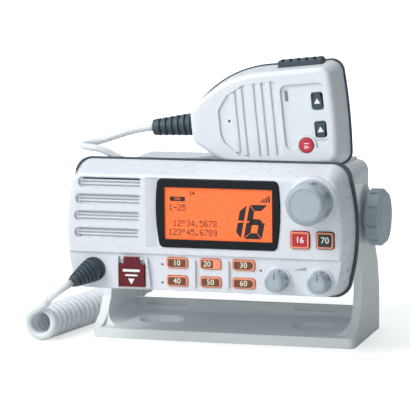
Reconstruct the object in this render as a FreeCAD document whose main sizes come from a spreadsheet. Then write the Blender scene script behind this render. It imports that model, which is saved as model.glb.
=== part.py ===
import FreeCAD, Part
import Sketcher
import math
import os
import re

# Fixed-mount VHF marine radio in its trunnion bracket, with the fist microphone laid on the case.
# Millimetres. +X is the viewer's right, -Y is the front and +Z is up.
# The origin is the middle of the bracket's underside.

os.makedirs("parts", exist_ok=True)
doc = FreeCAD.newDocument("marine_radio")
sheet = doc.addObject("Spreadsheet::Sheet", "dims")
Vec = FreeCAD.Vector
Turn = FreeCAD.Rotation

# Driving dimensions
sizes = {
    "bracket_width": 163,
    "bracket_depth": 69,
    "base_thick": 6.2,
    "rear_wall_tall": 13.6,
    "rear_wall_thick": 3.5,
    "arm_thick": 5.5,
    "hinge_back": -5,
    "hinge_height": 75,
    "arm_head_radius": 19.5,
    "screw_spread": 48,
    "screw_hole_radius": 2.6,
    "dish_radius": 13.5,
    "dish_deep": 3.2,
    "cove_radius": 10,
    "stud_radius": 2.5,
    "bore_radius": 2.55,
    "clamp_radius": 17.1,
    "clamp_inner": 83.6,
    "panel_mid": 73.4,
    "face_y": -71.7,
    "strip_y": -70.5,
    "strip_top": -14.5,
    "wall_y": -68.7,
    "gasket_y": -51.5,
    "gasket_thick": 2.2,
    "gasket_proud_side": 1.8,
    "gasket_proud_top": 1.1,
    "case_half": 73.5,
    "case_top": 104,
    "case_floor": 39.4,
    "case_back": 40.3,
    "case_wall": 3,
    "flange_thick": 3,
    "deck_rise": 1.7,
    "sink_half": 58,
    "sink_deep": 19,
    "fin_thick": 2,
    "fin_pitch": 7.25,
    "bezel_x": 9.4,
    "bezel_z": 10,
    "bezel_tall": 40.4,
    "window_x": 9.7,
    "window_z": 9.9,
    "window_wide": 65,
    "window_tall": 30.6,
    "slot_tall": 6.4,
    "slot_pitch": 10,
    "slot_top_z": 26.9,
    "key_tall": 5.9,
    "key_gap": 0.3,
    "channel_x": 66,
    "channel_z": 19.3,
    "channel_radius": 10.6,
    "channel_base_radius": 14.4,
    "small_knob_radius": 6.4,
    "small_knob_z": -27.2,
    "volume_x": 45.2,
    "squelch_x": 70.4,
    "shaft_radius": 3,
    "small_shaft_radius": 2,
    "running_gap": 0.05,
    "distress_x": -43,
    "distress_z": -27.4,
    "distress_wide": 16,
    "distress_tall": 13.4,
    "board_y": -62,
    "board_thick": 1.6,
    "speaker_x": -57.5,
    "speaker_z": 8,
    "speaker_radius": 18.5,
    "relief_x": -67.4,
    "relief_z": -25,
    "cable_radius": 2.2,
    "coil_radius": 8.1,
    "coil_pitch": 6.4,
    "coil_loosening": 0.14,
    "mic_x": 29.5,
    "mic_y": -27.8,
    "mic_z": 135.6,
    "mic_lean": 5.6,
    "mic_front": 18,
    "mic_front_deep": 23,
    "mic_seam": 1.8,
    "mic_proud": 0.9,
    "mic_wall": 2.4,
}
for row, (alias, value) in enumerate(sizes.items(), 1):
    sheet.set(f"A{row}", alias)
    sheet.set(f"B{row}", str(value))
    sheet.setAlias(f"B{row}", alias)
doc.recompute()
alias_words = re.compile(r"\b(" + "|".join(sizes) + r")\b")
nodes = []


def bind(thing, prop, size):
    thing.setExpression(prop, alias_words.sub(r"dims.\1", str(size)))


def put(thing, x=0, y=0, z=0):
    for axis, size in zip("xyz", (x, y, z)):
        bind(thing, "Placement.Base." + axis, size)
    return thing


def node(thing, name):
    thing.Label = name
    nodes.append(thing)
    return thing


# Primitives, each with its sizes bound to the sheet
turns = {
    "Z": Turn(),
    "X": Turn(Vec(0, 1, 0), 90),
    "Y": Turn(Vec(1, 0, 0), -90),
    "-X": Turn(Vec(0, 1, 0), -90),
    "-Y": Turn(Vec(1, 0, 0), 90),
}


def box(x, y, z, wide, deep, tall):
    block = doc.addObject("Part::Box", "block")
    bind(block, "Length", wide)
    bind(block, "Width", deep)
    bind(block, "Height", tall)
    return put(block, x, y, z)


def centred_box(x, y, z, wide, deep, tall):
    return box(f"{x}-({wide})/2", y, f"{z}-({tall})/2", wide, deep, tall)


def rod(x, y, z, radius, length, along="Z"):
    cylinder = doc.addObject("Part::Cylinder", "rod")
    bind(cylinder, "Radius", radius)
    bind(cylinder, "Height", length)
    cylinder.Placement = FreeCAD.Placement(Vec(), turns[along])
    return put(cylinder, x, y, z)


def ball(x, y, z, radius):
    sphere = doc.addObject("Part::Sphere", "ball")
    bind(sphere, "Radius", radius)
    return put(sphere, x, y, z)


def join(*pieces):
    joined = doc.addObject("Part::MultiFuse", "joined")
    joined.Shapes = list(pieces)
    return joined


def cut(base, *tools):
    result = doc.addObject("Part::Cut", "cut")
    result.Base = base
    result.Tool = tools[0] if len(tools) == 1 else join(*tools)
    return result


def group(*pieces):
    together = doc.addObject("Part::Compound", "group")
    together.Links = list(pieces)
    return together


def ring(x, y, z, outer, inner, length, along="Z"):
    return cut(rod(x, y, z, outer, length, along), rod(x, y, z, inner, length, along))


def runs_along(edge, axis):
    direction = getattr(edge.Curve, "Direction", None)
    return direction is not None and abs(direction.dot(axis)) > 0.999


def rounded(piece, radius, chosen, kind="Part::Fillet"):
    doc.recompute()
    soft = doc.addObject(kind, "soft")
    soft.Base = piece
    edges = enumerate(piece.Shape.Edges, 1)
    soft.Edges = [(number, radius, radius) for number, edge in edges if chosen(edge)]
    return soft


# Sketched bodies: a coordinate is a number, or the alias of a size with or without a minus
def number_of(size):
    if not isinstance(size, str):
        return float(size)
    value = float(sizes[size.lstrip("-")])
    return -value if size.startswith("-") else value


def pin_coordinate(sketch, kind, axis, geometry, end, size):
    if number_of(size) == 0:
        sketch.addConstraint(Sketcher.Constraint("PointOnObject", geometry, end, axis))
        return
    index = sketch.addConstraint(Sketcher.Constraint(kind, -1, 1, geometry, end, number_of(size)))
    if isinstance(size, str):
        sketch.setExpression(f"Constraints[{index}]", alias_words.sub(r"dims.\1", size))


def outline(body, role, points, lift=0, arcs=None):
    sketch = body.newObject("Sketcher::SketchObject", "outline")
    plane = next(feature for feature in body.Origin.OriginFeatures if feature.Role == role)
    sketch.AttachmentSupport = [(plane, "")]
    sketch.MapMode = "FlatFace"
    if lift:
        bind(sketch, "AttachmentOffset.Base.z", lift)
    corners = [Vec(number_of(x), number_of(y), 0) for x, y in points]
    arcs = arcs or {}
    starts = []
    for index, corner in enumerate(corners):
        following = corners[(index + 1) % len(corners)]
        middle = Vec(*arcs[index], 0) if index in arcs else corner
        clockwise = (middle - corner).cross(following - corner).z < 0
        ends = (following, middle, corner) if clockwise else (corner, middle, following)
        curve = Part.Arc(*ends) if index in arcs else Part.LineSegment(corner, following)
        sketch.addGeometry(curve, False)
        starts.append(2 if clockwise else 1)
    for index in range(len(corners)):
        after = (index + 1) % len(corners)
        end = 2 if starts[index] == 1 else 1
        sketch.addConstraint(Sketcher.Constraint("Coincident", index, end, after, starts[after]))
    for index, (x, y) in enumerate(points):
        pin_coordinate(sketch, "DistanceX", -2, index, starts[index], x)
        pin_coordinate(sketch, "DistanceY", -1, index, starts[index], y)
    for index in arcs:
        sketch.addConstraint(Sketcher.Constraint("Radius", index, sketch.Geometry[index].Radius))
    return sketch


def prism(role, points, length, arcs=None, back=False):
    body = doc.addObject("PartDesign::Body", "prism")
    pad = body.newObject("PartDesign::Pad", "pad")
    pad.Profile = outline(body, role, points, arcs=arcs)
    bind(pad, "Length", length)
    pad.Reversed = back
    body.Tip = pad
    return body


def turned(points, arcs=None):
    body = doc.addObject("PartDesign::Body", "turned")
    sketch = outline(body, "XZ_Plane", points, arcs=arcs)
    spun = body.newObject("PartDesign::Revolution", "spun")
    spun.Profile = sketch
    spun.ReferenceAxis = (sketch, ["V_Axis"])
    spun.Angle = 360
    body.Tip = spun
    return body


def aim(thing, direction, x, y, z):
    thing.Placement = FreeCAD.Placement(Vec(), Turn(Vec(0, 0, 1), direction))
    return put(thing, x, y, z)


# Trunnion bracket: base plate, rear wall and two arms in one moulding
plate = box("-bracket_width/2", "-bracket_depth/2", 0, "bracket_width", "bracket_depth", "base_thick")
wall = box("-bracket_width/2", "bracket_depth/2-rear_wall_thick", 0,
           "bracket_width", "rear_wall_thick", "rear_wall_tall")
wall_front = sizes["bracket_depth"] / 2 - sizes["rear_wall_thick"]
inner_corner = Vec(0, wall_front, sizes["base_thick"])
tray = rounded(join(plate, wall), 4, lambda edge: edge.CenterOfMass.distanceToPoint(inner_corner) < 0.01)
arm_side = [(-34.5, 0), (34.5, 0), (34.5, 27), (31, 42), (22, 56), (14.3, 73), (-24, 73),
            (-20, 57), (-13.5, 43), (-11, 32), (-13.5, 21.5), (-20, 13), (-28, 8), (-34.5, 6.2)]
arms = []
for low_x in ("-bracket_width/2", "bracket_width/2-arm_thick"):
    blade = rounded(put(prism("YZ_Plane", arm_side, "arm_thick"), low_x), 5,
                    lambda edge: runs_along(edge, Vec(1, 0, 0)) and 6.5 < edge.Vertexes[0].Z < 60)
    head = rod(low_x, "hinge_back", "hinge_height", "arm_head_radius", "arm_thick", "X")
    arms.append(join(blade, head))

# Coves inside the arms, gussets at the rear wall and the rounded front corners of the base
arm_inner = sizes["bracket_width"] / 2 - sizes["arm_thick"]
cove = sizes["cove_radius"]
base_top = sizes["base_thick"]
cove_side = [(arm_inner + 0.5, base_top - 1), (arm_inner - cove, base_top - 1), (arm_inner - cove, base_top),
             (arm_inner, base_top + cove), (arm_inner + 0.5, base_top + cove)]
cove_middle = (arm_inner - cove * (1 - math.sqrt(0.5)), base_top + cove * (1 - math.sqrt(0.5)))
gusset_side = [(76.5, 10), (64, 10), (64, 13.6), (76, 25.6), (76.5, 25.6)]
gusset_middle = (72.5, 17.1)
cove_reach = [(-29.5, 4), (36, 4), (36, 20), (-12.5, 20)]
corner_radius = 4
bracket_parts = []
corner_cuts = []
for side in (1, -1):
    band = prism("XZ_Plane", [(side * x, z) for x, z in cove_side], "bracket_depth-3",
                 arcs={2: (side * cove_middle[0], cove_middle[1])})
    put(band, 0, "bracket_depth/2-1.5")
    reach_x = f"{side}*({arm_inner}-cove_radius/2)-(cove_radius+2)/2"
    reach = put(prism("YZ_Plane", cove_reach, "cove_radius+2"), reach_x)
    cove_piece = doc.addObject("Part::Common", "cove")
    cove_piece.Base = band
    cove_piece.Tool = reach
    gusset = prism("XZ_Plane", [(side * x, z) for x, z in gusset_side], "rear_wall_thick-0.4",
                   arcs={2: (side * gusset_middle[0], gusset_middle[1])})
    bracket_parts += [cove_piece, put(gusset, 0, "bracket_depth/2-0.2")]
    corner_x = f"{side}*(bracket_width/2-{corner_radius})"
    block = centred_box(f"{corner_x}+{side * 5}", "-bracket_depth/2-5", 10, 10, 5 + corner_radius, 40)
    corner_cuts.append(cut(block, rod(corner_x, f"-bracket_depth/2+{corner_radius}", -20, corner_radius, 60)))

holes = []
for side in ("-", ""):
    dish = turned([(0, 0), (11, 0), ("dish_radius", "dish_deep"), ("dish_radius", 8), (0, 8)])
    holes.append(put(dish, f"{side}screw_spread", 0, "base_thick-dish_deep"))
    holes.append(rod(f"{side}screw_spread", 0, -5, "screw_hole_radius", 20))
    slot = centred_box(f"{side}screw_spread-6", "bracket_depth/2-rear_wall_thick-1", 10.6, 26, 2.2, 2.2)
    holes.append(rounded(slot, 1.05, lambda edge: runs_along(edge, Vec(0, 1, 0))))
holes.append(rod("-100", "hinge_back", "hinge_height", "stud_radius+0.3", 200, "X"))
built_bracket = join(tray, arms[0])
for piece in [arms[1]] + bracket_parts:
    built_bracket = join(built_bracket, piece)
node(cut(built_bracket, *holes, *corner_cuts), "bracket")

# Washers, clamp knobs and studs at the two hinge points
washers = [ring(x, "hinge_back", "hinge_height", 8, "stud_radius+0.3", 2, "X") for x in (81.5, -83.5)]
node(group(*washers), "arm_washers")
pads = [ring(x, "hinge_back", "hinge_height", 9, "stud_radius+0.3", 2.3, "X") for x in (73.6, -75.9)]
node(group(*pads), "case_washers")

for side, name in ((1, "right"), (-1, "left")):
    along = "X" if side > 0 else "-X"
    knob_side = [(0, 0), (8.5, 0), (9.5, 1.2), (16.2, 1.2), ("clamp_radius", 2.2), ("clamp_radius", 8.6),
                 (14.6, 11.3), (0, 11.3)]
    knob = turned(knob_side)
    grooves = []
    for step in range(10):
        angle = math.radians(36 * step + 28)
        grooves.append(rod(17.4 * math.cos(angle), 17.4 * math.sin(angle), 3.4, 1.1, 5))
    bore = rod(0, 0, -1, "stud_radius", 8)
    shaped = cut(knob, *grooves, bore)
    shaped.Placement = FreeCAD.Placement(Vec(), turns[along])
    put(shaped, "clamp_inner" if side > 0 else "-clamp_inner", "hinge_back", "hinge_height")
    node(shaped, f"clamp_knob_{name}")
    stud_start = "clamp_inner-19" if side > 0 else "-clamp_inner+19"
    node(rod(stud_start, "hinge_back", "hinge_height", "stud_radius", 26, along), f"clamp_stud_{name}")

# Front panel: a lofted shell, wide at the gasket and narrower at the face
rear_outline = [(73, 39.5), (84.5, 29.5), (84.5, -29.5), (73, -39.5),
                (-73, -39.5), (-84.5, -29.5), (-84.5, 29.5), (-73, 39.5)]
rear_arcs = {0: (81.3, 36.6), 1: (88.3, 0), 2: (81.3, -36.6), 4: (-81.3, -36.6), 5: (-88.3, 0), 6: (-81.3, 36.6)}
front_outline = [(72, 31.5), (80, 24.5), (80, -28.5), (71, -36),
                 (-71, -36), (-80, -28.5), (-80, 24.5), (-72, 31.5)]
front_arcs = {0: (78, 29.6), 1: (83.4, -2), 2: (77.6, -33.8), 4: (-77.6, -33.8), 5: (-83.4, -2), 6: (-78, 29.6)}


def shrunk(points, side, top):
    return [(x * (1 - side / 88.3), z * (1 - top / 39.5)) for x, z in points]


def shrunk_arcs(side, top):
    return dict(zip(rear_arcs, shrunk(rear_arcs.values(), side, top)))


def outline_plate(lift, length, side=0, top=0):
    body = doc.addObject("PartDesign::Body", "plate")
    pad = body.newObject("PartDesign::Pad", "pad")
    pad.Profile = outline(body, "XZ_Plane", shrunk(rear_outline, side, top), arcs=shrunk_arcs(side, top))
    bind(pad, "Length", length)
    body.Tip = pad
    return put(body, 0, lift, "panel_mid")


proud_side = sizes["gasket_proud_side"]
proud_top = sizes["gasket_proud_top"]
shell = doc.addObject("PartDesign::Body", "shell")
loft = shell.newObject("PartDesign::AdditiveLoft", "loft")
loft.Profile = outline(shell, "XZ_Plane", shrunk(rear_outline, proud_side, proud_top), lift="-gasket_y",
                       arcs=shrunk_arcs(proud_side, proud_top))
loft.Sections = [outline(shell, "XZ_Plane", front_outline, lift="-face_y", arcs=front_arcs)]
shell.Tip = loft
put(shell, 0, 0, "panel_mid")
face_y = sizes["face_y"]
shell = rounded(shell, 2.5, lambda edge: abs(edge.CenterOfMass.y - face_y) < 0.01)


def face_hole(x, z, radius, front="face_y-20", length=40):
    return rod(x, front, f"panel_mid+({z})", radius, length, "Y")


def face_box(x, z, wide, tall, front="face_y-20", length=40):
    return centred_box(x, front, f"panel_mid+({z})", wide, length, tall)


def soft_box(x, z, wide, tall, front, length, radius):
    block = face_box(x, z, wide, tall, front, length)
    return rounded(block, radius, lambda edge: runs_along(edge, Vec(0, 1, 0)))


cavity = soft_box(0, -2.8, 158, 62.6, "wall_y", 30, 6)
strip = box(-100, "face_y-5", "panel_mid-60", 200, "strip_y-(face_y-5)", "60+strip_top")
valley_side = [(-36, face_y - 0.4), (-34.6, face_y), (-28.4, face_y + 1.7), (-26, face_y + 1.7), (-26, face_y - 0.4)]
valley = put(prism("XY_Plane", valley_side, 40.8), 0, 0, "panel_mid-10.4")


def bezel_slab(spread, front, length):
    top, bottom, middle = (half + spread for half in (36.2, 35.2, 37.4))
    half_tall = sizes["bezel_tall"] / 2 + spread
    side = [(top, half_tall), (bottom, -half_tall), (-bottom, -half_tall), (-top, half_tall)]
    slab = put(prism("XZ_Plane", side, length, arcs={0: (middle, 0), 2: (-middle, 0)}), "bezel_x",
               f"{front}+{length}", "panel_mid+bezel_z")
    return rounded(slab, 3.2, lambda edge: runs_along(edge, Vec(0, 1, 0)))


bezel_seat = bezel_slab(0.1, "face_y-5", 7)
window = face_box("window_x", "window_z", "window_wide-3", "window_tall-3")
grille = []
slot_starts = (-75.8, -77.6, -78.6, -78.6)
for index, start in enumerate(slot_starts):
    end = -36 - 0.6 * index
    middle = (start + end) / 2
    height = f"slot_top_z-slot_pitch*{index}"
    grille.append(soft_box(middle, height, end - start, "slot_tall", "face_y-3", 5, 3.1))
    for offset in (-2, 0, 2):
        grille.append(soft_box(middle, f"{height}+({offset})", end - start - 4.4, 0.9, "face_y-3", 12, 0.4))

# Keys: name, middle, width, height
strip_keys = []
for row_index, row_z in enumerate((-19.4, -30.1)):
    for column, (key_x, key_wide) in enumerate(((-15.7, 12.6), (4.6, 12.6), (24.6, 13.4))):
        strip_keys.append((f"key_{row_index + 1}_{column + 1}", key_x, row_z, key_wide, "key_tall"))
square_keys = [("call_key_red", 58.6, -3.3, 11.2, 10), ("key_dark", 73.4, -3.1, 10.4, 9.8)]
key_holes = []
for name, key_x, key_z, key_wide, key_high in strip_keys + square_keys:
    key_holes.append(soft_box(key_x, key_z, f"{key_wide}+2*key_gap", f"{key_high}+2*key_gap",
                              "face_y-5", 20, 1.9))
knob_holes = [
    face_hole("channel_x", "channel_z", "shaft_radius+1"),
    face_hole("volume_x", "small_knob_z", "small_shaft_radius+0.8"),
    face_hole("squelch_x", "small_knob_z", "small_shaft_radius+0.8"),
    face_hole("relief_x", "relief_z", 6.4),
]
distress_hole = soft_box("distress_x", "distress_z", 10.6, 8.6, "face_y-5", 20, 1.5)
dividers = []
for divider_x in (-5.4, 14.8):
    bar = soft_box(divider_x, -25.4, 2, 16, "strip_y-1.5", 2, 0.9)
    dividers.append(bar)
frame_side = [(-10.4, -8.4), (11.4, -8.4), (9.4, 10), (-10.4, 10)]
frame = put(prism("XZ_Plane", frame_side, 2.6), "distress_x", "strip_y+0.5", "panel_mid+distress_z+1")
frame = rounded(frame, 1.6, lambda edge: runs_along(edge, Vec(0, 1, 0)))
cover_seat = face_box("distress_x", "distress_z+1.6", "distress_wide+0.6", "distress_tall+5.4",
                      "strip_y-4", "4-0.3")
channel_base = turned([(3.8, 0), ("channel_base_radius", 0), ("channel_base_radius", 3.4), (13.2, 4.4),
                       (3.8, 4.4)])
channel_base.Placement = FreeCAD.Placement(Vec(), turns["-Y"])
put(channel_base, "channel_x", "face_y+2.4", "panel_mid+channel_z")
small_bases = []
for base_x in ("volume_x", "squelch_x"):
    small_base = turned([(2.8, 0), (8.4, 0), (7.4, 1.6), (2.8, 1.6)])
    small_base.Placement = FreeCAD.Placement(Vec(), turns["-Y"])
    small_bases.append(put(small_base, base_x, "strip_y+0.4", "panel_mid+small_knob_z"))
screw_corners = [(x, z) for x in (-82, 82) for z in (-22, 20)]


def case_screw_holes():
    return [face_hole(x, z, 1.55, "-58.5", 20) for x, z in screw_corners]


hollowed = cut(shell, cavity, strip, valley, bezel_seat, window, *grille, *case_screw_holes())
built = join(hollowed, frame, *dividers, channel_base, *small_bases)
node(cut(built, cover_seat, distress_hole, *key_holes, *knob_holes), "front_panel")

# Display
bezel_block = bezel_slab(0, "face_y-0.9", 2.9)
bezel_block = rounded(bezel_block, 0.6, lambda edge: abs(edge.CenterOfMass.y - face_y + 0.9) < 0.01)
opening = face_box("window_x", "window_z", "window_wide", "window_tall")
node(cut(bezel_block, opening), "display_bezel")
node(face_box("window_x", "window_z", "window_wide", "window_tall", "face_y+0.2", 1.8), "display_window")
node(face_box("window_x", "window_z", "window_wide+4", "window_tall+4", "wall_y", 4.2), "display_module")

# Keycaps and the rubber mat behind them
for name, key_x, key_z, key_wide, key_high in strip_keys + square_keys:
    front = "strip_y-1.2" if name.startswith("key_1") or name.startswith("key_2") else "face_y-1.2"
    cap = soft_box(key_x, key_z, key_wide, key_high, front, f"-66.2-({front})", 1.6)
    crown_y = (sizes["strip_y"] if front.startswith("strip") else face_y) - 1.2
    node(rounded(cap, 0.45, lambda edge: abs(edge.CenterOfMass.y - crown_y) < 0.01), name)
mats = [face_box(4.6, -24.6, 58, 18.6, "-65.4", 3.4), face_box(64.5, -3.2, 27, 12, "-65.4", 3.4)]
node(group(*mats), "keypad_mat")

# Distress key under its hinged cover
button = soft_box("distress_x", "distress_z", 10, 8, "strip_y-0.2", 4.3, 1.4)
node(button, "distress_button")
cover_z = "panel_mid+distress_z"
lid = centred_box("distress_x", "strip_y-3.4", cover_z, "distress_wide", 1.6, "distress_tall")
tab = centred_box("distress_x", "strip_y-3.4", f"{cover_z}+distress_tall/2+1.75", 9.6, 1.6, 4.3)
sides = [centred_box(f"distress_x{offset}", "strip_y-1.9", cover_z, 1.1, 1.5, "distress_tall")
         for offset in ("-distress_wide/2+0.55", "+distress_wide/2-0.55")]
barrel = rod("distress_x-4.8", "strip_y-2.1", f"{cover_z}+distress_tall/2+3", 1.3, 9.6, "X")
pin_bore = rod("distress_x-6", "strip_y-2.1", f"{cover_z}+distress_tall/2+3", "0.6+running_gap", 12, "X")
node(cut(join(lid, tab, *sides, barrel), pin_bore), "distress_cover")
node(rod("distress_x-6.6", "strip_y-2.1", f"{cover_z}+distress_tall/2+3", 0.6, 13.2, "X"), "distress_hinge_pin")

# Knobs, shafts and the controls they turn
def ribbed_knob(profile, bore, grooves):
    knob = turned(profile)
    return cut(knob, rod(0, 0, -1, bore, 8), *grooves)


channel_side = [(0, 0), (12.3, 0), (12.3, 12.6), (11.4, 13.4), ("channel_radius", 15.5), (9.8, 16.5), (0, 16.5)]
finger_cuts = []
for step in range(8):
    angle = math.radians(45 * step + 22.5)
    finger_cuts.append(rod(14.4 * math.cos(angle), 14.4 * math.sin(angle), 3.2, 3.4, 9.6))
channel_knob = ribbed_knob(channel_side, "shaft_radius", finger_cuts)
channel_knob.Placement = FreeCAD.Placement(Vec(), turns["-Y"])
node(put(channel_knob, "channel_x", "face_y-2.2", "panel_mid+channel_z"), "channel_knob")
node(rod("channel_x", -59.5, "panel_mid+channel_z", "shaft_radius", "-59.5-(face_y-2.2)+7", "-Y"), "channel_shaft")
encoder = join(centred_box("channel_x", "board_y-6.5", "panel_mid+channel_z", 13, 6.5, 12.4),
               rod("channel_x", "board_y-6.5", "panel_mid+channel_z", 3.9, 3, "-Y"))
node(cut(encoder, face_hole("channel_x", "channel_z", "shaft_radius+running_gap")), "channel_encoder")

small_side = [(0, 0), ("small_knob_radius", 0), ("small_knob_radius", 3.4), (5.9, 4.2), (5.6, 9.7),
              (5, 10.5), (0, 10.5)]
controls = []
for name, knob_x in (("volume", "volume_x"), ("squelch", "squelch_x")):
    pointer = box(-0.5, 2.6, 9.7, 1, 5, 5)
    notches = [pointer]
    for step in range(8):
        angle = math.radians(45 * step + 22.5)
        notches.append(rod(7.5 * math.cos(angle), 7.5 * math.sin(angle), 1.2, 1.9, 7.6))
    knob = ribbed_knob(small_side, "small_shaft_radius", notches)
    knob.Placement = FreeCAD.Placement(Vec(), turns["-Y"])
    node(put(knob, knob_x, "strip_y-1.4", "panel_mid+small_knob_z"), f"{name}_knob")
    node(rod(knob_x, -59.5, "panel_mid+small_knob_z", "small_shaft_radius",
             "-59.5-(strip_y-1.4)+7", "-Y"), f"{name}_shaft")
    pot = join(centred_box(knob_x, "board_y-6.5", "panel_mid+small_knob_z", 9.6, 6.5, 9.6),
               rod(knob_x, "board_y-6.5", "panel_mid+small_knob_z", 2.7, 2, "-Y"))
    bore = face_hole(knob_x, "small_knob_z", "small_shaft_radius+running_gap")
    controls.append(cut(pot, bore))
node(group(*controls), "knob_controls")

# Boards and loudspeaker inside the panel
shaft_holes = [face_hole("channel_x", "channel_z", 3.6)]
shaft_holes += [face_hole(x, "small_knob_z", 2.6) for x in ("volume_x", "squelch_x")]
front_board = face_box(22, -3, 108, 60, "board_y", "board_thick")
node(cut(front_board, *shaft_holes), "front_board")
speaker_z = "panel_mid+speaker_z"


def speaker_part(profile, front, name):
    piece = turned(profile)
    piece.Placement = FreeCAD.Placement(Vec(), turns["Y"])
    return node(put(piece, "speaker_x", front, speaker_z), name)


speaker_part([(14.5, 0), ("speaker_radius", 0), ("speaker_radius", 1.5), (17, 1.5), (9.5, 9), (9.5, 10),
              (0, 10), (0, 9), (7.5, 9), (14.5, 1.5)], "wall_y+0.6", "speaker_frame")
speaker_part([(0, 6.4), (4, 6.4), (14, 0), (14, 0.8), (4.6, 7.4), (0, 7.4)], "wall_y+0.6", "speaker_cone")
speaker_part([(0, 0), (8.5, 0), (8.5, 5), (0, 5)], "wall_y+10.6", "speaker_magnet")

# Gasket, rear case with its flange and bosses, heat sink and rear fittings
gasket_hole = soft_box(0, -2.5, 150, 57, "gasket_y-1", 20, 6)
gasket = cut(outline_plate("gasket_y+gasket_thick", "gasket_thick"), gasket_hole, *case_screw_holes())
node(gasket, "panel_gasket")
flange = outline_plate("gasket_y+gasket_thick+flange_thick", "flange_thick", 1, 0.8)
case_front = "gasket_y+gasket_thick"
tub = rounded(box("-case_half", case_front, "case_floor", "2*case_half", f"case_back-({case_front})",
                  "case_top-case_floor"), 7, lambda edge: runs_along(edge, Vec(0, 1, 0)))
hollow = box("-case_half+case_wall", f"{case_front}-5", "case_floor+case_wall", "2*(case_half-case_wall)",
             f"case_back-case_wall-({case_front})+5", "case_top-case_floor-2*case_wall")
hollow = rounded(hollow, 5, lambda edge: runs_along(edge, Vec(0, 1, 0)))
bosses = [rod(x, "hinge_back", "hinge_height", 6.5, 14, along)
          for x, along in (("case_half-0.5", "-X"), ("-case_half+0.5", "X"))]
bores = [rod(x, "hinge_back", "hinge_height", "bore_radius", 13, along)
         for x, along in (("case_half+1", "-X"), ("-case_half-1", "X"))]
deck = box("-case_half+7", 6, "case_top-1", "2*(case_half-7)", "case_back-6", "deck_rise+1")
deck = rounded(deck, 1.4, lambda edge: edge.CenterOfMass.z > sizes["case_top"] + 1)
socket_hole = rod(48, "case_back-6", "panel_mid-21", 6, 12, "Y")
gland_hole = rod(-48, "case_back-6", "panel_mid-18", 4.5, 12, "Y")
case_body = join(join(cut(join(tub, flange), hollow), *bosses), deck)
node(cut(case_body, *bores, *case_screw_holes(), socket_hole, gland_hole), "rear_case")
case_screws = []
for x, z in screw_corners:
    head = rod(x, f"{case_front}+flange_thick", f"panel_mid+({z})", 2.9, 2, "Y")
    shank = rod(x, f"{case_front}+flange_thick", f"panel_mid+({z})", 1.5, 11, "-Y")
    case_screws.append(join(head, shank))
node(group(*case_screws), "case_screws")

fins = [box("-sink_half", "case_back", "panel_mid-10", "2*sink_half", 4, 36)]
fin_count = 1 + int(2 * sizes["sink_half"] / sizes["fin_pitch"])
for step in range(fin_count):
    fins.append(box(f"-sink_half+fin_pitch*{step}", "case_back", "panel_mid-10", "fin_thick", "sink_deep", 36))
node(join(*fins), "heat_sink")
socket_side = [(0, 0), (5.9, 0), (5.9, 4), (9, 4), (9, 6), (7.94, 6), (7.94, 17), (2.2, 17), (2.2, 7), (0, 7)]
socket = turned(socket_side)
socket.Placement = FreeCAD.Placement(Vec(), turns["Y"])
node(put(socket, 48, "case_back-4", "panel_mid-21"), "antenna_socket")
gland_side = [(0, 0), (7, 0), (7, 2), (4.4, 2), (4.4, 5), (7.5, 5), (5, 14), (3, 14), (3, 8), (0, 8)]
gland = turned(gland_side)
gland.Placement = FreeCAD.Placement(Vec(), turns["Y"])
node(put(gland, -48, "case_back-5", "panel_mid-18"), "power_gland")
main_board = box(-66, -44, "panel_mid-14", 132, 76, "board_thick")
shields = [box(-60, -38, "panel_mid-14+board_thick", 52, 40, 7),
           box(4, -30, "panel_mid-14+board_thick", 30, 26, 9)]
node(join(main_board, *shields), "main_board")
node(box(-32, "case_back-case_wall-9", "panel_mid+2", 64, 9, 16), "power_amplifier")

# Strain relief where the microphone cord leaves the panel
relief_line = Vec(-0.55, -0.72, -0.38)
relief_line.normalize()
relief_length = 15.6
ribbed = [(0, 0), (7, 0), (7, 1.8)]
for step in range(5):
    height = 1.8 + 2.4 * step
    outer = 6.9 - 0.62 * step
    ribbed += [(outer - 1.1, height + 0.1), (outer - 1.2, height + 0.9), (outer - 0.25, height + 1),
               (outer - 0.45, height + 2.3)]
ribbed += [(3.2, 14.4), (3.0, relief_length), (0, relief_length)]
relief_cone = aim(turned(ribbed), relief_line, "relief_x", "strip_y-3.2", "panel_mid+relief_z")
collar = ball("relief_x", "strip_y-3.2", "panel_mid+relief_z", 5.8)
flange_ring = rod("relief_x", "strip_y-1.2", "panel_mid+relief_z", 7.3, 1.2, "Y")
outside = box("relief_x-40", "strip_y-40", "panel_mid+relief_z-40", 80, 40, 80)
plug = rod("relief_x", "strip_y-1", "panel_mid+relief_z", 6.3, 6, "Y")
clipped = doc.addObject("Part::Common", "clipped")
clipped.Base = join(relief_cone, collar)
clipped.Tool = outside
node(join(clipped, plug, flange_ring), "front_strain_relief")

# Fist microphone, built about its own middle and then laid leaning on the case
mic_frame = FreeCAD.Placement(Vec(sizes["mic_x"], sizes["mic_y"], sizes["mic_z"]),
                              Turn(Vec(0, 1, 0), -sizes["mic_lean"]))


def mic_node(thing, name):
    holder = group(thing)
    holder.Placement = mic_frame
    return node(holder, name)


def mic_outline(inset):
    wide = (46 - inset) / 46
    tall = (30.5 - inset) / 30.5
    points = [(38, 30.5), (45.5, 23), (45.5, -23), (38, -30.5), (4, -30.5), (-42.4, -13), (-46.4, -7.2),
              (-46.4, 7.2), (-42.4, 13), (4, 30.5)]
    bends = {0: (43.3, 28.3), 1: (46.3, 0), 2: (43.3, -28.3), 4: (-22.5, -25.9), 5: (-45.2, -10.2),
             7: (-45.2, 10.2), 8: (-22.5, 25.9)}
    points = [(x * wide, z * tall) for x, z in points]
    return points, {index: (x * wide, z * tall) for index, (x, z) in bends.items()}


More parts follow.
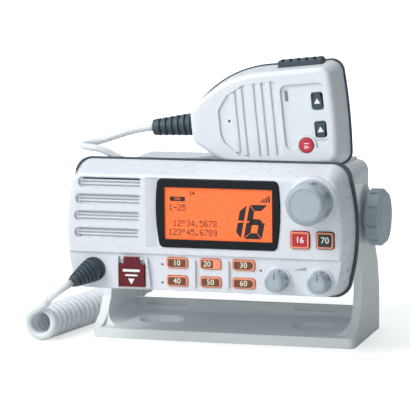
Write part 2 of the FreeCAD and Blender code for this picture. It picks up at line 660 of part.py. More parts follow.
def mic_slab(inset_rear, inset_front, rear, front):
    body = doc.addObject("PartDesign::Body", "slab")
    loft = body.newObject("PartDesign::AdditiveLoft", "loft")
    points, bends = mic_outline(inset_rear)
    loft.Profile = outline(body, "XZ_Plane", points, lift=f"-({rear})", arcs=bends)
    points, bends = mic_outline(inset_front)
    loft.Sections = [outline(body, "XZ_Plane", points, lift=f"-({front})", arcs=bends)]
    body.Tip = loft
    return body


seam_y = "mic_front_deep-mic_front"
mic_proud = sizes["mic_proud"]
back_y = "mic_front_deep-mic_front+mic_seam"
front_slab = mic_slab(0, 2.6, seam_y, "-mic_front")
front_slab = rounded(front_slab, 3.4, lambda edge: abs(edge.CenterOfMass.y + sizes["mic_front"]) < 0.01)
front_hollow = mic_slab(3, 7, f"{seam_y}+1", "-mic_front+mic_wall+0.6")
pan_side = [(10.2, 22.6), (-10, 21.4), (-20.5, 16), (-26.2, 8), (-26.2, -6), (-24, -11.5), (-16, -19), (-8, -21),
            (10.2, -21)]
pan = put(prism("XZ_Plane", pan_side, 2), 0, "-mic_front+1.3")
pans = [rounded(pan, 2.2, lambda edge: runs_along(edge, Vec(0, 1, 0)))]
key_pan = centred_box(25.4, -19.2, 0.5, 26, 2.6, 38)
pans.append(rounded(key_pan, 4, lambda edge: runs_along(edge, Vec(0, 1, 0))))
ribs = []
for left, right, low, high in ((-18.9, -15.1, -17.2, 17.4), (-14, -10.7, -19.6, 19.8), (-9, -3.5, -21.3, 21.7),
                               (-1.9, 1.4, -21.3, 22.2), (3.6, 6.9, -21.3, 22.4)):
    rib = box(left, -17.9, low, right - left, 2, high - low)
    ribs.append(rounded(rib, 0.7, lambda edge: runs_along(edge, Vec(0, 0, 1)) and edge.CenterOfMass.y < -17))
pod_side = [(38.8, 15.4), (31, 14.8), (31, -13.4), (38.8, -14)]
pod = put(prism("XZ_Plane", pod_side, 1.4, arcs={1: (27.4, 0.7)}), 0, -16)
key_rim = rod(25, -17.6, -16.4, 6, 2.4, "Y")
mic_cuts = [front_hollow, rod(-20.3, -20, 1.2, 0.8, 10, "Y")]
mic_keys = [("mic_up_key", 34, 8.9, 6.6, 9.6), ("mic_down_key", 34.4, -7.7, 6.6, 9)]
for name, x, z, wide, tall in mic_keys:
    mic_cuts.append(rounded(centred_box(x, -20, z, wide + 0.5, 8, tall + 0.5), 1.6,
                            lambda edge: runs_along(edge, Vec(0, 1, 0))))
mic_cuts.append(rod(25, -20, -16.4, 4.65, 8, "Y"))
mic_cuts.append(centred_box(15.5, -20, 13.2, 1.4, 8, 6))
mic_cuts.append(box(9.2, -6.6, 22, 27.2, 10.2, 14))
mic_cuts.append(rod(-50, -2, 0, 5.4, 12, "X"))
mic_face = join(cut(front_slab, *pans), *ribs, pod, key_rim)
mic_node(cut(mic_face, *mic_cuts), "mic_front_shell")
seam = mic_slab(-mic_proud, -mic_proud, back_y, seam_y)
mic_node(cut(seam, mic_slab(3, 3, f"{back_y}+1", f"{seam_y}-1")), "mic_seam_gasket")
back_slab = mic_slab(7, 0.6, "mic_front", back_y)
back_slab = rounded(back_slab, 3, lambda edge: abs(edge.CenterOfMass.y - sizes["mic_front"]) < 0.01)
back_hollow = mic_slab(9.5, 4, "mic_front-mic_wall", f"{back_y}-1")
screw_places = ((31, 17), (31, -17), (-28, 0))
screw_cuts = []
for x, z in screw_places:
    screw_cuts += [rod(x, 16.2, z, 3, 4, "Y"), rod(x, 7, z, 1.6, 12, "Y")]
screw_posts = [rod(x, 8, z, 3.4, 9, "Y") for x, z in screw_places]
mic_node(cut(join(cut(back_slab, back_hollow), *screw_posts), *screw_cuts), "mic_back_shell")
screws = []
for x, z in screw_places:
    slot = centred_box(x, 17.2, z, 4, 1, 0.9)
    screws.append(cut(join(rod(x, 16.2, z, 2.8, 1.6, "Y"), rod(x, 9, z, 1.5, 7.5, "Y")), slot))
mic_node(group(*screws), "mic_screws")
for name, x, z, wide, tall in mic_keys:
    flip = 1 if "up" in name else -1
    side = [(-wide / 2, -flip * tall / 2), (wide / 2, -flip * tall / 2),
            (wide / 2 - 1.1, flip * tall / 2), (-wide / 2 + 1.1, flip * tall / 2)]
    cap = rounded(put(prism("XZ_Plane", side, 5.6), x, -12.4, z), 1.2, lambda edge: runs_along(edge, Vec(0, 1, 0)))
    mic_node(cap, name)
round_cap = rod(25, -18.4, -16.4, 4.4, 6, "Y")
mic_node(rounded(round_cap, 0.8, lambda edge: abs(edge.CenterOfMass.y + 18.4) < 0.01), "mic_round_key")
mic_node(centred_box(15.5, -17.3, 13.2, 1.4, 3, 6), "mic_lamp")
bar = rounded(box(9.6, -6.2, 25.6, 26.4, 9.4, 8), 1.8, lambda edge: edge.CenterOfMass.z > 33.5)
bar_grooves = [box(12 + 4.8 * step, -12, 32.2, 1.9, 20, 4) for step in range(5)]
mic_node(cut(bar, *bar_grooves), "push_to_talk_bar")
mic_node(join(box(-16, 0, -20, 50, 1.6, 40), box(12, -7, 17, 16, 7, 3.8)), "mic_board")
mic_node(rod(-20.3, -14.9, 1.2, 4.8, 5, "Y"), "mic_capsule")
hanger = turned([(0, 0), (4, 0), (4, 4.5), (6.5, 5.5), (6.5, 8), (0, 8)])
hanger.Placement = FreeCAD.Placement(Vec(6, sizes["mic_front"], 0), turns["Y"])
mic_node(hanger, "mic_hanger")
mic_ribs = [(0, -6), (5.3, -6), (5.3, 0.8), (6.6, 1), (6.6, 3)]
for step in range(5):
    height = 3 + 4 * step
    outer = 6.5 - 0.33 * step
    mic_ribs += [(outer - 1.1, height + 0.2), (outer - 1.15, height + 1.4), (outer, height + 1.6),
                 (outer - 0.2, height + 3.9)]
mic_ribs += [(4.6, 24.8), (0, 24.8)]
mic_relief = turned(mic_ribs)
mic_relief.Placement = FreeCAD.Placement(Vec(-46.6, -2, 0), turns["-X"])
mic_node(mic_relief, "mic_strain_relief")

# Microphone cord: its free runs as straight stretches joined by arcs, and its curls as one helix
cable = sizes["cable_radius"]


def smooth_path(points):
    corners = [Vec(*point) for point in points]
    edges = []
    radii = []
    start = corners[0]
    for before, corner, after in zip(corners, corners[1:], corners[2:]):
        inward = (before - corner).normalize()
        outward = (after - corner).normalize()
        half_turn = (math.pi - inward.getAngle(outward)) / 2
        reach = 0.45 * min((before - corner).Length, (after - corner).Length)
        radius = reach / math.tan(half_turn)
        bisector = (inward + outward).normalize()
        middle = corner + bisector * (radius / math.cos(half_turn) - radius)
        first = corner + inward * reach
        last = corner + outward * reach
        edges.append(Part.LineSegment(start, first).toShape())
        edges.append(Part.Arc(first, middle, last).toShape())
        radii.append(round(radius, 1))
        start = last
    edges.append(Part.LineSegment(start, corners[-1]).toShape())
    return Part.Wire(edges), radii


def tube(path, name):
    edge = path.Edges[0]
    start = edge.valueAt(edge.FirstParameter)
    heading = edge.tangentAt(edge.FirstParameter)
    circle = Part.Wire([Part.makeCircle(cable, start, heading)])
    solid = path.makePipeShell([circle], True, False)
    share = solid.Volume / (math.pi * cable ** 2 * path.Length)
    print(name, "length", round(path.Length, 1), "volume over section times length", round(share, 4))
    piece = doc.addObject("Part::Feature", "cord")
    piece.Shape = solid
    return node(piece, name)


def arc_from(start, heading, end):
    chord = end - start
    toward = (heading + Vec(chord).normalize()).normalize()
    half = heading.getAngle(chord) / 2
    middle = start + toward * (chord.Length / 2 / math.cos(half))
    return Part.Arc(start, middle, end).toShape()


def biarc(start, heading, end, final):
    chord = end - start
    spread = chord.dot(heading + final)
    bend = 2 * (1 - heading.dot(final))
    reach = (math.sqrt(spread ** 2 + bend * chord.dot(chord)) - spread) / bend
    joint = (start + end + (heading - final) * reach) * 0.5
    first = arc_from(start, heading, joint)
    second = arc_from(end, final * -1, joint)
    return [first, second]


def helix_path(axis_points, radius, pitch, loosening, first_side, last_side, last_point):
    axis, radii = smooth_path(axis_points)
    print("coil axis length", round(axis.Length, 1), "bends", radii)
    count = 400
    places = axis.discretize(count + 1)
    headings = [(after - before).normalize() for before, after in zip(places, places[1:])]
    headings.append(headings[-1])
    first = Vec(*first_side)
    sides = [(first - headings[0] * first.dot(headings[0])).normalize()]
    for heading in headings[1:]:
        side = sides[-1] - heading * sides[-1].dot(heading)
        sides.append(side.normalize())
    wanted = Vec(*last_side)
    across = headings[-1].cross(sides[-1])
    leftover = math.atan2(wanted.dot(across), wanted.dot(sides[-1]))
    whole = round(axis.Length / pitch)
    full_turn = leftover - 2 * math.pi * whole

    def place(share):
        share = min(max(share, 0), 1)
        spot = (share - loosening / math.pi * math.sin(math.pi * share)) * count
        index = min(int(spot), count - 1)
        part = spot - index
        middle = places[index] * (1 - part) + places[index + 1] * part
        side = (sides[index] * (1 - part) + sides[index + 1] * part).normalize()
        heading = headings[index]
        angle = full_turn * share
        return middle + (side * math.cos(angle) + heading.cross(side) * math.sin(angle)) * radius

    steps = 4 * whole
    small = 1e-4
    spots = [place(index / steps) for index in range(steps + 1)]
    aims = [(place(index / steps + small) - place(index / steps - small)).normalize()
            for index in range(steps + 1)]
    aims[0] = (place(small) - place(0)).normalize()
    aims[-1] = (place(1) - place(1 - small)).normalize()
    edges = [Part.LineSegment(spots[0] - aims[0] * 2 * cable, spots[0]).toShape()]
    for index in range(steps):
        edges += biarc(spots[index], aims[index], spots[index + 1], aims[index + 1])
    edges.append(Part.LineSegment(spots[-1], last_point).toShape())
    print("curls", whole)
    return Part.Wire(Part.__sortEdges__(edges))


def least_gap(path):
    points = path.discretize(Distance=1.2)
    far = int(7 * cable / 1.2)
    gaps = [points[i].distanceToPoint(other) for i in range(0, len(points), 3) for other in points[i + far:i + 90]]
    return min(gaps) - 2 * cable


coil_axis = [(-108.5, -54, 10.6), (-105.5, -40, 10.6), (-101.5, -20, 10.7), (-97, 4, 10.7), (-94.5, 30, 10.8),
             (-93, 54, 11.5), (-84, 74, 18), (-66, 86, 29), (-45, 90, 44), (-26, 87, 61), (-16.1, 82, 83),
             (-16.1, 82, 108.3)]
top_of_case = Vec(-8, 28, 108.3)
coil_path = helix_path(coil_axis, sizes["coil_radius"], sizes["coil_pitch"], sizes["coil_loosening"],
                       (-0.5, 0, 0.866), (1, 0, 0), top_of_case)
lead = coil_path.Edges[0]
coil_start = lead.valueAt(lead.FirstParameter)
coil_heading = lead.tangentAt(lead.FirstParameter)
print("coil starts", coil_start, "towards", coil_heading, "least gap", round(least_gap(coil_path), 2))
tube(coil_path, "cord_curl")
relief_root = Vec(sizes["relief_x"], sizes["strip_y"] - 3.2, sizes["panel_mid"] + sizes["relief_z"])
relief_tip = relief_root + relief_line * relief_length
front_tail = [tuple(relief_tip), tuple(relief_tip + relief_line * 9), (-86.5, -91.5, 34.5), (-92.5, -80.5, 30.9),
              (-97.5, -67.5, 28.3), tuple(coil_start - coil_heading * 9), tuple(coil_start)]
front_path, front_radii = smooth_path(front_tail)
print("front tail bends", front_radii)
tube(front_path, "cord_front_tail")
mic_tip = mic_frame.multVec(Vec(-46.6 - 24.8, -2, 0))
mic_away = mic_frame.Rotation.multVec(Vec(-1, 0, 0))
mic_tail = [tuple(mic_tip), tuple(mic_tip + mic_away * 11), (-66, -31, 123), (-76.5, -31.2, 119.6),
            (-83.4, -34.6, 118.2), (-84, -40.4, 117.8), (-78.5, -43.4, 117.4), (-70.5, -44, 116.6),
            (-63.5, -42.4, 112.8), (-53.5, -40.6, 108.2), (-43, -37, 106.6), (-32, -28, 106.5),
            (-23, -16, 106.6), (-14, -2, 107.4), (-8.6, 12, 108.3), (-8, 27.7, 108.3)]
mic_path, mic_radii = smooth_path(mic_tail)
print("mic tail bends", mic_radii)
tube(mic_path, "cord_mic_tail")

# Check every object, then write one file for each piece
doc.recompute()
for thing in doc.Objects:
    if "Invalid" in thing.State or "Error" in thing.State:
        raise RuntimeError(f"{thing.Name} failed")
for piece in nodes:
    if not piece.Shape.Solids or not piece.Shape.isValid():
        raise RuntimeError(f"{piece.Label} has no valid shape")
    piece.Shape.exportStep(f"parts/{piece.Label}.step")
print(len(nodes), "pieces written")
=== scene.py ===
import math

import bmesh
import bpy
from mathutils import Matrix, Vector


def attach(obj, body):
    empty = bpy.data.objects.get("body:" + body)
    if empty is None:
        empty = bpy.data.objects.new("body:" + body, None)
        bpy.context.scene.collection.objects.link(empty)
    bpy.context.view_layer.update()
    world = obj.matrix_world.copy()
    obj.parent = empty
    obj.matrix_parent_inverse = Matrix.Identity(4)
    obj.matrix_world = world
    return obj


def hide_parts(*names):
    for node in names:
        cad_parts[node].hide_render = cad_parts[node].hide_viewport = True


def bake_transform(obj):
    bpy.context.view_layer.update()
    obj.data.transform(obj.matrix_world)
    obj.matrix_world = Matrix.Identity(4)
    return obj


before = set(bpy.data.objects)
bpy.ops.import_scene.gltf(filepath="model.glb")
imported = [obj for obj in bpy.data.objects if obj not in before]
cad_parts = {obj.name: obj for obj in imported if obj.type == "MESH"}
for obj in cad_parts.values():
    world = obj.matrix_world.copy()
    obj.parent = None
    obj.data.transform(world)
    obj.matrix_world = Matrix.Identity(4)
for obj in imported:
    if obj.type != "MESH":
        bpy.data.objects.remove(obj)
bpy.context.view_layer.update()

# Trunnion bracket: one white glass-filled nylon moulding that the radio hangs in.
# Its faces carry the fine spark grain of the mould, and its edges are softened.
mm = 0.001
drift_size, drift_detail = 14, 3
polish_size, polish_spread = 4, 0.15
fine_detail = 2
noise_low, noise_high = 0.3, 0.7
coat_rough = 0.08
grain_strength = 0.6
edge_samples = 4


def paint(red, green, blue):
    levels = []
    for value in (red, green, blue):
        share = value / 255
        levels.append(share / 12.92 if share <= 0.04045 else ((share + 0.055) / 1.055) ** 2.4)
    return (*levels, 1.0)


def plastic(name, colour, rough, shade=0.05, grain=0.35, depth=0.012, edge=0.35, metal=0.0, coat=0.0,
            glow=0.0, shine=0.5):
    """A moulded or plated finish, with its grain, the grain's depth and its edge radius in millimetres."""
    finish = bpy.data.materials.new(name)
    finish.use_nodes = True
    finish.diffuse_color = colour
    nodes, wires = finish.node_tree.nodes, finish.node_tree.links
    shader = nodes["Principled BSDF"]
    shader.inputs["Metallic"].default_value = metal
    shader.inputs["Coat Weight"].default_value = coat
    shader.inputs["Specular IOR Level"].default_value = shine
    shader.inputs["Coat Roughness"].default_value = coat_rough
    place = nodes.new("ShaderNodeTexCoord")

    def clouds(size, detail):
        cloud = nodes.new("ShaderNodeTexNoise")
        cloud.inputs["Scale"].default_value = 1 / (size * mm)
        cloud.inputs["Detail"].default_value = detail
        wires.new(place.outputs["Object"], cloud.inputs["Vector"])
        return cloud

    drift = nodes.new("ShaderNodeValToRGB")
    drift.color_ramp.elements[0].position = noise_low
    drift.color_ramp.elements[1].position = noise_high
    drift.color_ramp.elements[0].color = (*[level * (1 - shade) for level in colour[:3]], 1)
    drift.color_ramp.elements[1].color = colour
    wires.new(clouds(drift_size, drift_detail).outputs["Fac"], drift.inputs["Fac"])
    wires.new(drift.outputs["Color"], shader.inputs["Base Color"])
    if glow:
        wires.new(drift.outputs["Color"], shader.inputs["Emission Color"])
        shader.inputs["Emission Strength"].default_value = glow
    polish = nodes.new("ShaderNodeMapRange")
    polish.inputs["From Min"].default_value = noise_low
    polish.inputs["From Max"].default_value = noise_high
    polish.inputs["To Min"].default_value = rough * (1 - polish_spread)
    polish.inputs["To Max"].default_value = min(rough * (1 + polish_spread), 1)
    wires.new(clouds(polish_size, fine_detail).outputs["Fac"], polish.inputs["Value"])
    wires.new(polish.outputs["Result"], shader.inputs["Roughness"])
    soft_edge = nodes.new("ShaderNodeBevel")
    soft_edge.samples = edge_samples
    soft_edge.inputs["Radius"].default_value = edge * mm
    bump = nodes.new("ShaderNodeBump")
    bump.inputs["Strength"].default_value = grain_strength
    bump.inputs["Distance"].default_value = depth * mm
    wires.new(clouds(grain, fine_detail).outputs["Fac"], bump.inputs["Height"])
    wires.new(soft_edge.outputs["Normal"], bump.inputs["Normal"])
    wires.new(bump.outputs["Normal"], shader.inputs["Normal"])
    return finish


def dress(finish, *names):
    for name in names:
        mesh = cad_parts[name].data
        mesh.materials.clear()
        mesh.materials.append(finish)


bracket_white = plastic("bracket_white_nylon", paint(238, 243, 244), 0.45, shade=0.03, grain=0.5,
                        depth=0.003, edge=0.8)
dress(bracket_white, "bracket")

# Clamp knobs, their studs and the washers between bracket and case.
# The studs are stainless steel, the washers nickel plated, the knobs grey moulded plastic.
# The screws, shafts and fittings of the radio and the microphone are of the same two metals.
steel = plastic("brushed_stainless_steel", paint(196, 198, 200), 0.3, shade=0.12, grain=0.2, metal=1.0)
nickel = plastic("nickel_plate", paint(206, 204, 196), 0.22, shade=0.06, grain=0.6, metal=1.0)
clamp_grey = plastic("clamp_knob_grey", paint(168, 180, 187), 0.42, grain=0.45, depth=0.01, edge=0.7)
dress(steel, "clamp_stud_right", "clamp_stud_left", "case_screws", "mic_screws", "distress_hinge_pin")
dress(steel, "channel_shaft", "volume_shaft", "squelch_shaft")
dress(nickel, "arm_washers", "case_washers", "antenna_socket", "mic_hanger")
dress(clamp_grey, "clamp_knob_right", "clamp_knob_left")

# Rear case: a white moulded tub with a die-cast heat sink behind it and a rubber gland for the supply lead.
# The amplifier and the boards sit inside it, and four screws from behind hold it to the panel.
shell_white = plastic("case_white_gloss", paint(228, 231, 236), 0.3, shade=0.02, grain=0.5, depth=0.001,
                      edge=0.6)
cast_grey = plastic("die_cast_grey", paint(176, 182, 186), 0.5, shade=0.14, grain=0.5, depth=0.04, metal=0.3)
slate_rubber = plastic("slate_rubber", paint(62, 76, 86), 0.5, shade=0.15, grain=0.3, depth=0.012, edge=0.5)
board_green = plastic("board_green_lacquer", paint(34, 92, 60), 0.35, shade=0.3, grain=1.5)
tinned_grey = plastic("component_grey", paint(120, 124, 128), 0.4, shade=0.3, grain=1.0, metal=0.2)
dress(shell_white, "rear_case")
dress(cast_grey, "heat_sink")
dress(slate_rubber, "power_gland", "panel_gasket", "mic_seam_gasket", "keypad_mat")
dress(board_green, "main_board", "front_board", "mic_board")
dress(tinned_grey, "power_amplifier", "channel_encoder", "knob_controls", "mic_capsule")

# Loudspeaker behind the grille: a splash-proof film cone in a pale grey frame, with its magnet behind.
# A fine gauze lies between the cone and the slits of the panel, and keeps spray off it.
cone_grey = plastic("cone_grey_film", paint(168, 178, 180), 0.5, shade=0.08, grain=0.8)
# The gauze's faint glow is painted light: it lifts the gauze out of the shade inside the speaker cavity.
gauze_grey_painted_glow = plastic("gauze_grey_weave", paint(196, 208, 208), 0.7, shade=0.1, grain=0.3, depth=0.01,
                     edge=0.05, glow=0.12)
dress(cone_grey, "speaker_frame", "speaker_cone")
dress(tinned_grey, "speaker_magnet")
panel_middle = 73.4
gauze_wide, gauze_tall, gauze_corner, gauze_thick = 42, 34, 6, 0.2
gauze_spot = (-57.4, -68.35, panel_middle + 11)


def extruded(name, shapes, thick, finish, body, spot=(0, 0, 0), lean=0.0, holes=()):
    """A thin piece on a face that looks forwards, from shapes drawn as right and up in millimetres."""
    work = bmesh.new()
    for shape in shapes:
        back = [work.verts.new((right * mm, 0, up * mm)) for right, up in shape]
        front = [work.verts.new((right * mm, -thick * mm, up * mm)) for right, up in shape]
        count = len(shape)
        if not holes:
            work.faces.new(front)
            work.faces.new(list(reversed(back)))
        for index in range(count):
            after = (index + 1) % count
            work.faces.new((back[index], back[after], front[after], front[index]))
        for hole in holes:
            inner_back = [work.verts.new((right * mm, 0, up * mm)) for right, up in hole]
            inner_front = [work.verts.new((right * mm, -thick * mm, up * mm)) for right, up in hole]
            for index in range(count):
                after = (index + 1) % count
                work.faces.new((inner_front[index], inner_front[after],
                                inner_back[after], inner_back[index]))
                work.faces.new((front[index], front[after], inner_front[after], inner_front[index]))
                work.faces.new((back[after], back[index], inner_back[index], inner_back[after]))
    bmesh.ops.recalc_face_normals(work, faces=work.faces)
    mesh = bpy.data.meshes.new(name)
    work.to_mesh(mesh)
    work.free()
    return fitted(name, mesh, finish, body, spot, lean)


def fitted(name, mesh, finish, body, spot, lean=0.0):
    """A thin piece laid at its spot, in millimetres, and carried by a body."""
    turn = Matrix.Rotation(-math.radians(lean), 4, "Y")
    mesh.transform(Matrix.Translation(Vector(spot) * mm) @ turn)
    mesh.materials.clear()
    mesh.materials.append(finish)
    piece = bpy.data.objects.new(name, mesh)
    bpy.context.scene.collection.objects.link(piece)
    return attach(piece, body)


def pill(wide, tall, left_radius, right_radius=None, steps=5):
    """A rectangle with rounded corners, whose left and right ends may differ."""
    right_radius = left_radius if right_radius is None else right_radius
    points = []
    corners = ((1, 1, right_radius, 0), (-1, 1, left_radius, 90),
               (-1, -1, left_radius, 180), (1, -1, right_radius, 270))
    for side, rise, radius, start in corners:
        for step in range(steps + 1):
            angle = math.radians(start + 90 * step / steps)
            points.append((side * (wide / 2 - radius) + radius * math.cos(angle),
                           rise * (tall / 2 - radius) + radius * math.sin(angle)))
    return points


gauze_outline = pill(gauze_wide, gauze_tall, gauze_corner)
extruded("speaker_gauze", [gauze_outline], gauze_thick, gauze_grey_painted_glow, "radio", gauze_spot)

# Front panel: the white moulded face of the radio, glossy on its crowned sides.
# Small arrows beside the keys and a volume wedge are printed on its lower step.
panel_white = plastic("panel_white_gloss", paint(224, 228, 234), 0.3, shade=0.02, grain=0.4, depth=0.001,
                      edge=0.5)
dress(panel_white, "front_panel")
panel_face = -71.7
step_face = -70.5


def shifted(shape, right, up):
    return [(x + right, z + up) for x, z in shape]


def on_panel(right, up, face):
    return (right, face, panel_middle + up)


dark_print = plastic("dark_print_ink", paint(60, 66, 74), 0.6, grain=0.2, depth=0.002, edge=0.02)
faint_print = plastic("faint_print_ink", paint(168, 178, 186), 0.6, grain=0.2, depth=0.002, edge=0.02)
ink_thick = 0.04
right_arrow = [(-0.9, 0.8), (-0.9, -0.8), (0.9, 0)]
left_arrow = [(-x, z) for x, z in reversed(right_arrow)]
arrow_spots = ((right_arrow, -24.6, -20.6), (right_arrow, -24.6, -31.4), (left_arrow, 34.4, -22.2))
side_marks = [shifted(mark, right, up) for mark, right, up in arrow_spots]
extruded("arrow_marks", side_marks, ink_thick, dark_print, "radio", on_panel(0, 0, step_face))
wedge = shifted([(-4.2, -1.0), (4.2, -1.0), (4.2, 1.2)], 57.6, -20.4)
extruded("volume_wedge_mark", [wedge], ink_thick, faint_print, "radio", on_panel(0, 0, step_face))

# Display: a backlit orange crystal module behind a clear window, in a gloss black bezel.
# The dark segments and dots show channel numbers and two rows of figures.
crystal_orange = plastic("lit_crystal_orange", paint(255, 116, 60), 0.3, shade=0.05, grain=2.0, depth=0.001,
                         edge=0.05, glow=0.22, shine=0.3)
bezel_black = plastic("bezel_gloss_black", paint(6, 15, 20), 0.3, shade=0.2, grain=1.0, depth=0.001,
                      edge=0.4, shine=0.25)
segment_black = plastic("segment_black", paint(18, 8, 6), 0.4, grain=0.3, depth=0.001, edge=0.02)
dress(crystal_orange, "display_window", "display_module")
dress(bezel_black, "display_bezel")
window_face = -71.5
segment_thick = 0.05
digit_wide, digit_tall, digit_bottom = 10.9, 20, -3.8
digit_stroke, digit_gap, digit_slant = 3.5, 0.35, 0.19
digit_notch = 0.4


def segment_digit(value, left):
    """The lit segments of one large figure, out of the seven that the glass has for it."""
    lit = {"1": "bc", "6": "acdefg"}[value]
    right, top, middle = digit_wide, digit_tall, digit_tall / 2
    stroke, gap = digit_stroke, digit_gap
    inner, slope, tip = right - stroke, gap + digit_notch, gap + 2 * digit_notch
    shapes = {
        "a": [(gap, top), (right - gap, top), (inner, top - stroke), (stroke, top - stroke)],
        "b": [(right, top - gap), (inner, top - stroke - gap), (inner, middle + slope),
              (right, middle + gap)],
        "c": [(right, middle - gap), (inner, middle - slope), (inner, stroke + gap), (right, gap)],
        "d": [(gap, 0), (stroke, stroke), (inner, stroke), (right - gap, 0)],
        "e": [(0, gap), (0, middle - gap), (stroke, middle - slope), (stroke, stroke + gap)],
        "f": [(0, middle + gap), (0, top - gap), (stroke, top - stroke - gap), (stroke, middle + slope)],
        "g": [(stroke, middle + stroke / 2), (inner, middle + stroke / 2), (right - tip, middle),
              (inner, middle - stroke / 2), (stroke, middle - stroke / 2), (tip, middle)],
    }
    drawn = []
    for name in lit:
        drawn.append([(left + x + digit_slant * z, digit_bottom + z) for x, z in shapes[name]])
    return drawn


channel = segment_digit("1", 12.2) + segment_digit("6", 24.8)
extruded("channel_segments", channel, segment_thick, segment_black, "radio", on_panel(0, 0, window_face))

dot_figures = {
    "1": "00100 01100 00100 00100 00100 00100 01110",
    "2": "01110 10001 00001 00110 01000 10000 11111",
    "3": "01110 10001 00001 00110 00001 10001 01110",
    "4": "00010 00110 01010 10010 11111 00010 00010",
    "5": "11111 10000 11110 00001 00001 10001 01110",
    "6": "01110 10000 10000 11110 10001 10001 01110",
    "7": "11111 00001 00010 00100 01000 01000 01000",
    "8": "01110 10001 10001 01110 10001 10001 01110",
    "9": "01110 10001 10001 01111 00001 00001 01110",
    "-": "00000 00000 00000 11111 00000 00000 00000",
    ".": "00000 00000 00000 00000 00000 01100 01100",
    "o": "01100 10010 10010 01100 00000 00000 00000",
}
dot_wide, dot_tall, dot_fill = 0.45, 0.52, 0.98
sign_columns = 6


def dot_row(text, left, top):
    wide, tall = dot_wide * dot_fill, dot_tall * dot_fill
    dots = []
    for place, sign in enumerate(text):
        for row, bits in enumerate(dot_figures[sign].split()):
            for column, bit in enumerate(bits):
                if bit == "1":
                    x = left + (place * sign_columns + column) * dot_wide
                    z = top - row * dot_tall
                    dots.append([(x, z - tall), (x + wide, z - tall), (x + wide, z), (x, z)])
    return dots


rows = dot_row("1-25", -20.2, 15.2) + dot_row("12o34.5678", -17.7, 6.0) + dot_row("123o45.6789", -20.4, 0.8)
extruded("figure_rows", rows, segment_thick, segment_black, "radio", on_panel(0, 0, window_face))
badge_spot = (-14.9, 18.4)
bars_left, bars_up, bar_pitch = 35.6, 18.3, 1.5
bar_wide, bar_tall, bar_growth, bar_corner = 1.0, 1.2, 0.9, 0.1
status_marks = [shifted(pill(9.2, 2.7, 0.6), *badge_spot)]
for step in range(4):
    bar = pill(bar_wide, bar_tall + bar_growth * step, bar_corner)
    status_marks.append(shifted(bar, bars_left + bar_pitch * step, bars_up + bar_growth * step / 2))
extruded("status_marks", status_marks, segment_thick, segment_black, "radio", on_panel(0, 0, window_face))
letter_scale, letter_weight = 1.4, 0.012


def figure(name, text, tall, thick, finish, body, spot, lean=0.0, turn=0.0):
    """Plain figures cut from the built-in lettering, standing on a face that looks forwards."""
    lettering = bpy.data.curves.new(name, "FONT")
    lettering.body = text
    lettering.size = tall * letter_scale * mm
    lettering.align_x = "CENTER"
    lettering.align_y = "CENTER"
    lettering.extrude = thick * mm / 2
    lettering.offset = letter_weight * tall * mm
    lettering.resolution_u = 3
    writer = bpy.data.objects.new(name, lettering)
    bpy.context.scene.collection.objects.link(writer)
    bpy.context.view_layer.update()
    mesh = bpy.data.meshes.new_from_object(writer.evaluated_get(bpy.context.evaluated_depsgraph_get()))
    bpy.data.objects.remove(writer)
    upright = Matrix.Rotation(math.radians(turn), 4, "Y") @ Matrix.Rotation(math.radians(90), 4, "X")
    mesh.transform(upright)
    return fitted(name, mesh, finish, body, spot, lean)


figure("status_figures", "24", 2.6, 0.06, segment_black, "radio", on_panel(-6.1, 21.7, window_face))
figure("status_pill_figures", "ON", 1.7, 0.12, crystal_orange, "radio", on_panel(*badge_spot, window_face))

# Keys: silicone caps that glow orange round a printed plate, with plain figures printed on them.
# Each cap rides on its own key, so its plate and figure press in with it.
amber_cap = plastic("amber_key_silicone", paint(242, 148, 112), 0.4, shade=0.06, grain=0.3, edge=0.5,
                    glow=0.1)
red_cap = plastic("red_key_silicone", paint(190, 34, 42), 0.35, shade=0.08, grain=0.3, edge=0.4)
dark_cap = plastic("dark_key_silicone", paint(34, 50, 46), 0.35, shade=0.1, grain=0.3, edge=0.4)
brown_plate = plastic("brown_key_print", paint(112, 68, 46), 0.5, grain=0.2, depth=0.003, edge=0.05)
cream_print = plastic("cream_print_ink", paint(246, 236, 214), 0.5, shade=0.02, grain=0.2, depth=0.002,
                      edge=0.02)
white_print = plastic("white_print_ink", paint(244, 244, 246), 0.5, shade=0.02, grain=0.2, depth=0.002,
                      edge=0.02)
cap_rise = 1.2
strip_columns = (-15.7, 4.6, 24.6)
strip_widths = (12.6, 12.6, 13.4)
strip_heights = (-19.4, -30.1)
plate_margin, plate_tall, plate_thick = 1.9, 4.5, 0.05
plate_corner, plate_round_end = 0.8, 2.1
half_plate_share, half_plate_shift, half_plate_corner = 0.56, 0.15, 0.3
figure_tall, figure_thick, figure_lift = 3.3, 0.08, 0.06
for row, up in enumerate(strip_heights, 1):
    for column, (right, wide) in enumerate(zip(strip_columns, strip_widths), 1):
        cap = f"key_{row}_{column}"
        dress(amber_cap, cap)
        crown = step_face - cap_rise
        plate_end = plate_round_end if column == 3 else plate_corner
        plate = pill(wide - plate_margin, plate_tall, plate_corner, plate_end)
        label_right = right
        if cap == "key_1_2":
            half_plate = pill(wide * half_plate_share, plate_tall, plate_corner, half_plate_corner)
            plate = shifted(half_plate, -wide * half_plate_shift, 0)
            label_right = right - wide * half_plate_shift
        extruded(cap + "_plate", [plate], plate_thick, brown_plate, cap + "_body",
                 on_panel(right, up, crown))
        number = str(3 * (row - 1) + column) + "0"
        figure(cap + "_figure", number, figure_tall, figure_thick, cream_print, cap + "_body",
               on_panel(label_right, up, crown - figure_lift))
square_keys = (("call_key_red", "call_key_body", 58.6, -3.3, 11.2, 10.0, red_cap, "16"),
               ("key_dark", "dark_key_body", 73.4, -3.1, 10.4, 9.8, dark_cap, "70"))
glow_margin, glow_corner, glow_thick = 0.5, 1.4, 0.12
face_margin, face_corner = 2.4, 0.7
square_figure_tall = 3.6
